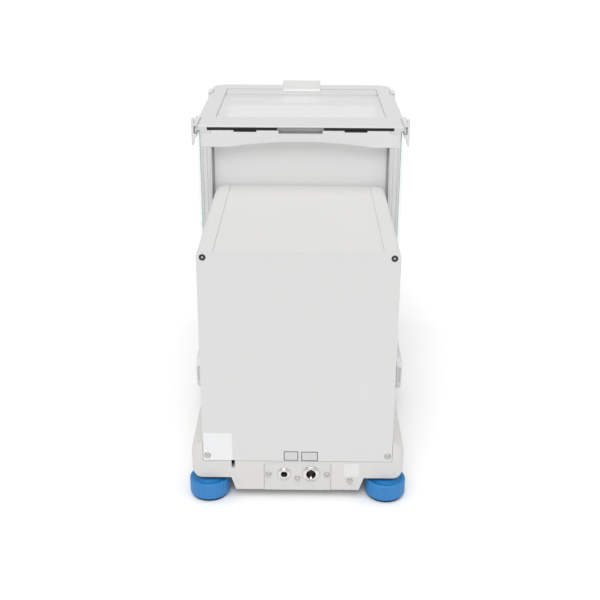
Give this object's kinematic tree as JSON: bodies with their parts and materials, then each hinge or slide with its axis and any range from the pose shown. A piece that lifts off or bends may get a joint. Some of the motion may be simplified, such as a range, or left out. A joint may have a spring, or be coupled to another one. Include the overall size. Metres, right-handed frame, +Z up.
{
  "type": "analytical balance",
  "caption": "Analytical balance weighing unit: glass weighing chamber with sliding side and top doors, housing behind, ribbed blue levelling feet and rear sockets.",
  "frame": {"origin": "centre of the footprint on the table, at the underside of the foot pads", "axes": "+X to the operator's right, +Y to the rear (the connector side), +Z up"},
  "size_m": [0.2528, 0.5059, 0.3673],
  "materials": {
    "painted_casting": "fine-textured powder coat on cast aluminium, light warm grey",
    "painted_steel": "satin powder coat, light grey",
    "moulded_plastic": "fine-grained moulded plastic, light grey",
    "clear_glass": "clear float glass with a green edge",
    "stainless": "brushed stainless steel",
    "zinc_screws": "zinc-plated steel",
    "nickel_rings": "nickel-plated brass",
    "dark_plastic": "black insulating plastic",
    "label_foil": "white self-adhesive foil",
    "machined_aluminium": "milled aluminium",
    "magnet_steel": "nickel-plated soft iron",
    "coil_copper": "enamelled copper winding",
    "brass_bushes": "turned brass",
    "circuit_board": "green solder mask",
    "blue_plastic": "bright blue moulded plastic, ribbed rim",
    "black_rubber": "black rubber"
  },
  "bodies": {
    "base": {"base_casting": "painted_casting", "hook_port_plug": "moulded_plastic", "foot_bushes": "brass_bushes", "housing_cover": "painted_casting", "rear_panel": "painted_steel", "rear_panel_screws": "zinc_screws", "rating_label": "label_foil", "socket_labels": "label_foil", "seal_sticker": "label_foil", "connector_plate": "painted_steel", "connector_plate_screws": "zinc_screws", "power_jack": "nickel_rings", "display_socket": "nickel_rings", "display_socket_insert": "dark_plastic", "ground_screw": "zinc_screws", "left_rear_post": "moulded_plastic", "right_rear_post": "moulded_plastic", "left_front_post": "moulded_plastic", "right_front_post": "moulded_plastic", "chamber_rear_wall": "moulded_plastic", "rear_lintel": "moulded_plastic", "top_frame": "moulded_plastic", "front_pane": "clear_glass", "chamber_floor": "stainless", "draft_ring": "stainless", "level_cup": "moulded_plastic", "level_vial": "clear_glass", "cell_frame": "machined_aluminium", "magnet_pot": "magnet_steel", "position_sensor": "dark_plastic", "adjustment_motor": "dark_plastic", "motor_bracket": "machined_aluminium", "main_board": "circuit_board"},
    "left_door": {"left_door_glass": "clear_glass", "left_door_hooks": "moulded_plastic", "left_door_grip": "moulded_plastic"},
    "right_door": {"right_door_glass": "clear_glass", "right_door_hooks": "moulded_plastic", "right_door_grip": "moulded_plastic"},
    "top_door": {"top_door_glass": "clear_glass", "top_door_handle": "moulded_plastic"},
    "pan": {"weighing_pan": "stainless"},
    "load_receiver": {"load_arm": "machined_aluminium", "receiver": "machined_aluminium"},
    "lever": {"lever": "machined_aluminium", "force_coil": "coil_copper"},
    "lower_guide": {"lower_guide": "machined_aluminium"},
    "upper_guide": {"upper_guide": "machined_aluminium"},
    "weight_cradle": {"weight_cradle": "machined_aluminium", "adjustment_weight": "stainless"},
    "adjustment_spindle": {"adjustment_spindle": "magnet_steel"},
    "rear_right_pad": {"rear_right_foot_pad": "black_rubber"},
    "rear_right_wheel": {"rear_right_foot_wheel": "blue_plastic"},
    "rear_left_pad": {"rear_left_foot_pad": "black_rubber"},
    "rear_left_wheel": {"rear_left_foot_wheel": "blue_plastic"},
    "front_right_pad": {"front_right_foot_pad": "black_rubber"},
    "front_right_wheel": {"front_right_foot_wheel": "blue_plastic"},
    "front_left_pad": {"front_left_foot_pad": "black_rubber"},
    "front_left_wheel": {"front_left_foot_wheel": "blue_plastic"}
  },
  "joints": [
    {"name": "rear_right_level", "type": "slide", "parent": "base", "child": "rear_right_pad", "axis": [0, 0, 1], "range_m": [-0.005, 0.0025]},
    {"name": "rear_right_wheel_turn", "type": "hinge", "parent": "rear_right_pad", "child": "rear_right_wheel", "pos_m": [0.0948, 0.23155, 0], "axis": [0, 0, 1], "range_deg": [-1450, 730]},
    {"name": "rear_left_level", "type": "slide", "parent": "base", "child": "rear_left_pad", "axis": [0, 0, 1], "range_m": [-0.005, 0.0025]},
    {"name": "rear_left_wheel_turn", "type": "hinge", "parent": "rear_left_pad", "child": "rear_left_wheel", "pos_m": [-0.0948, 0.23155, 0], "axis": [0, 0, 1], "range_deg": [-1450, 730]},
    {"name": "front_right_level", "type": "slide", "parent": "base", "child": "front_right_pad", "axis": [0, 0, 1], "range_m": [-0.005, 0.0025]},
    {"name": "front_right_wheel_turn", "type": "hinge", "parent": "front_right_pad", "child": "front_right_wheel", "pos_m": [0.0948, -0.22695, 0], "axis": [0, 0, 1], "range_deg": [-1450, 730]},
    {"name": "front_left_level", "type": "slide", "parent": "base", "child": "front_left_pad", "axis": [0, 0, 1], "range_m": [-0.005, 0.0025]},
    {"name": "front_left_wheel_turn", "type": "hinge", "parent": "front_left_pad", "child": "front_left_wheel", "pos_m": [-0.0948, -0.22695, 0], "axis": [0, 0, 1], "range_deg": [-1450, 730]},
    {"name": "left_door_slide", "type": "slide", "parent": "base", "child": "left_door", "axis": [0, 1, 0], "range_m": [0, 0.19]},
    {"name": "right_door_slide", "type": "slide", "parent": "base", "child": "right_door", "axis": [0, 1, 0], "range_m": [0, 0.19]},
    {"name": "top_door_slide", "type": "slide", "parent": "base", "child": "top_door", "axis": [0, 1, 0], "range_m": [0, 0.148]},
    {"name": "cell_travel", "type": "slide", "parent": "base", "child": "load_receiver", "axis": [0, 0, 1], "range_m": [-0.0002, 0], "stiffness_N_per_m": 15000, "springref_m": 0.0006},
    {"name": "pan_lift", "type": "slide", "parent": "load_receiver", "child": "pan", "axis": [0, 0, 1], "range_m": [0, 0.03]},
    {"name": "lever_tilt", "type": "hinge", "parent": "base", "child": "lever", "pos_m": [0, 0.05605, 0.069], "axis": [1, 0, 0], "range_deg": [-0.2, 1.3]},
    {"name": "lower_guide_tilt", "type": "hinge", "parent": "base", "child": "lower_guide", "pos_m": [0, 0.07405, 0.0385], "axis": [1, 0, 0], "range_deg": [-0.1, 0.5]},
    {"name": "upper_guide_tilt", "type": "hinge", "parent": "base", "child": "upper_guide", "pos_m": [0, 0.07405, 0.1055], "axis": [1, 0, 0], "range_deg": [-0.1, 0.5]},
    {"name": "weight_lowering", "type": "slide", "parent": "base", "child": "weight_cradle", "axis": [0, 0, 1], "range_m": [-0.003, 0]},
    {"name": "spindle_turn", "type": "hinge", "parent": "base", "child": "adjustment_spindle", "pos_m": [0, 0.05405, 0.12], "axis": [0, 0, 1], "range_deg": [-1090, 10]}
  ],
  "couplings": [
    {"joint": "rear_right_wheel_turn", "follows": "rear_right_level", "rad_per_m": 5026.5},
    {"joint": "rear_left_wheel_turn", "follows": "rear_left_level", "rad_per_m": 5026.5},
    {"joint": "front_right_wheel_turn", "follows": "front_right_level", "rad_per_m": 5026.5},
    {"joint": "front_left_wheel_turn", "follows": "front_left_level", "rad_per_m": 5026.5},
    {"joint": "lever_tilt", "follows": "cell_travel", "rad_per_m": -98.039},
    {"joint": "lower_guide_tilt", "follows": "cell_travel", "rad_per_m": -27.174},
    {"joint": "upper_guide_tilt", "follows": "cell_travel", "rad_per_m": -27.174},
    {"joint": "spindle_turn", "follows": "weight_lowering", "rad_per_m": 6283.2}
  ]
}
